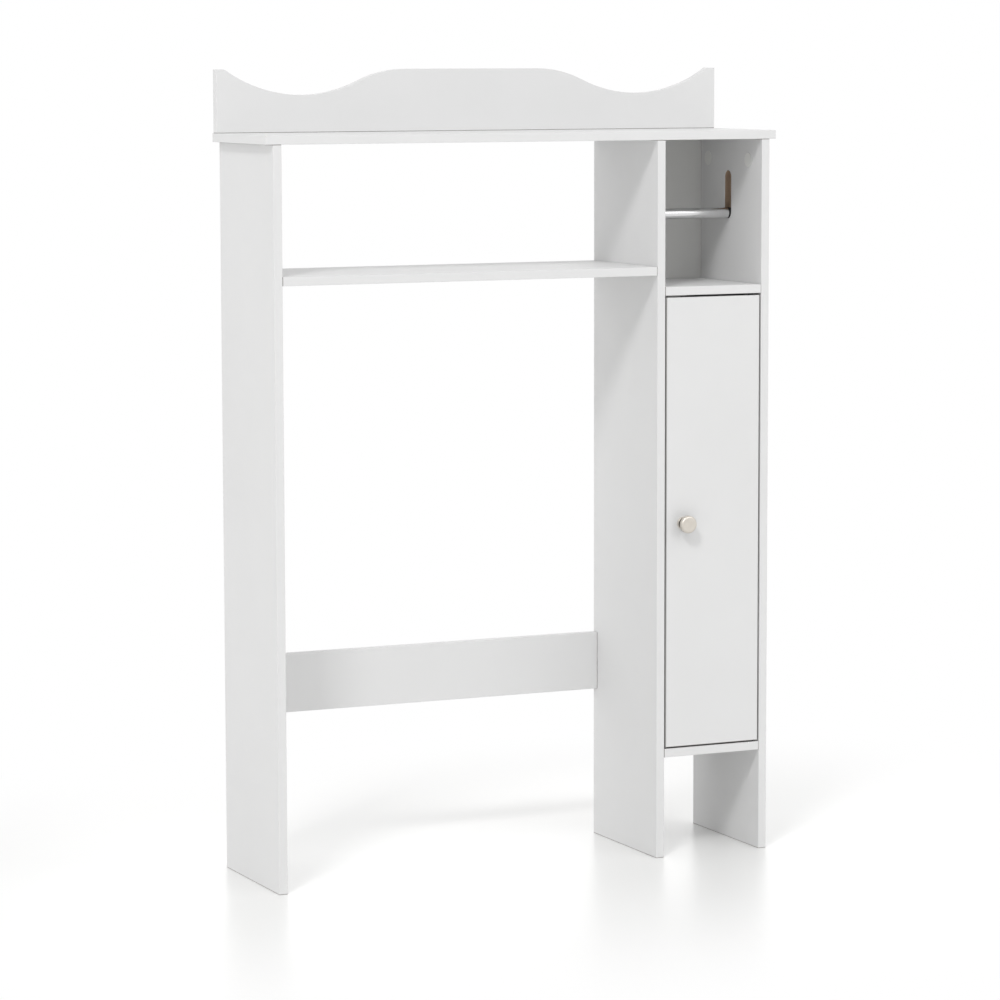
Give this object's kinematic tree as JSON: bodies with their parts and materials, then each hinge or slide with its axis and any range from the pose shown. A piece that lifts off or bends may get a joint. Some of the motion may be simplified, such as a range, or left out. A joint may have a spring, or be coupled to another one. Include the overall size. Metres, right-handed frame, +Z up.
{
  "type": "over-toilet cabinet",
  "caption": "White free-standing over-toilet cabinet: open bay with a shelf and scalloped top, and a narrow column with a roll rod above a hinged door.",
  "frame": {"origin": "on the floor, under the middle of the top board's length and of the depth from the knob's face to the back edges", "axes": "+Z up, -Y to the front where the door and knob are, +X to the column's side"},
  "size_m": [0.76, 0.22, 1.1],
  "materials": {
    "white_board": "satin white foil over fibreboard",
    "white_hardboard": "white lacquered hardboard",
    "satin_nickel": "satin nickel plate",
    "zinc_plated_steel": "bright zinc plate",
    "satin_steel_tube": "satin plated tube",
    "white_plastic": "moulded, satin",
    "blackened_steel": "black oxide",
    "black_nylon": "moulded nylon",
    "black_plastic": "moulded, satin",
    "ferrite": "sintered ferrite"
  },
  "bodies": {
    "carcass": {"left_side_panel": "white_board", "middle_side_panel": "white_board", "right_side_panel": "white_board", "top_board": "white_board", "scalloped_backsplash": "white_board", "main_shelf": "white_board", "lower_back_rail": "white_board", "cubby_shelf": "white_board", "cabinet_floor": "white_board", "inner_shelf": "white_board", "column_back_panel": "white_hardboard", "lower_pivot_pin": "blackened_steel", "upper_pivot_pin": "blackened_steel", "catch_housing": "white_plastic", "catch_magnet": "ferrite", "catch_pole_plates": "zinc_plated_steel", "shelf_pins": "zinc_plated_steel", "cam_covers": "white_plastic"},
    "door": {"door_panel": "white_board", "door_knob": "satin_nickel", "knob_screw": "zinc_plated_steel", "strike_plate": "zinc_plated_steel", "lower_door_bush": "black_nylon", "upper_door_bush": "black_nylon"},
    "rod_carriage": {"rod_end_plugs": "black_plastic"},
    "rod_roller": {"roll_rod_tube": "satin_steel_tube"}
  },
  "joints": [
    {"name": "door_hinge", "type": "hinge", "parent": "carcass", "child": "door", "pos_m": [0.3465, -0.084, 0.4705], "axis": [0, 0, 1], "range_deg": [0, 110]},
    {"name": "rod_lift", "type": "slide", "parent": "carcass", "child": "rod_carriage", "axis": [0, 0, 1], "range_m": [0, 0.051]},
    {"name": "rod_spin", "type": "hinge", "parent": "rod_carriage", "child": "rod_roller", "pos_m": [0.283, 0.01, 0.8963], "axis": [1, 0, 0], "continuous": true}
  ]
}
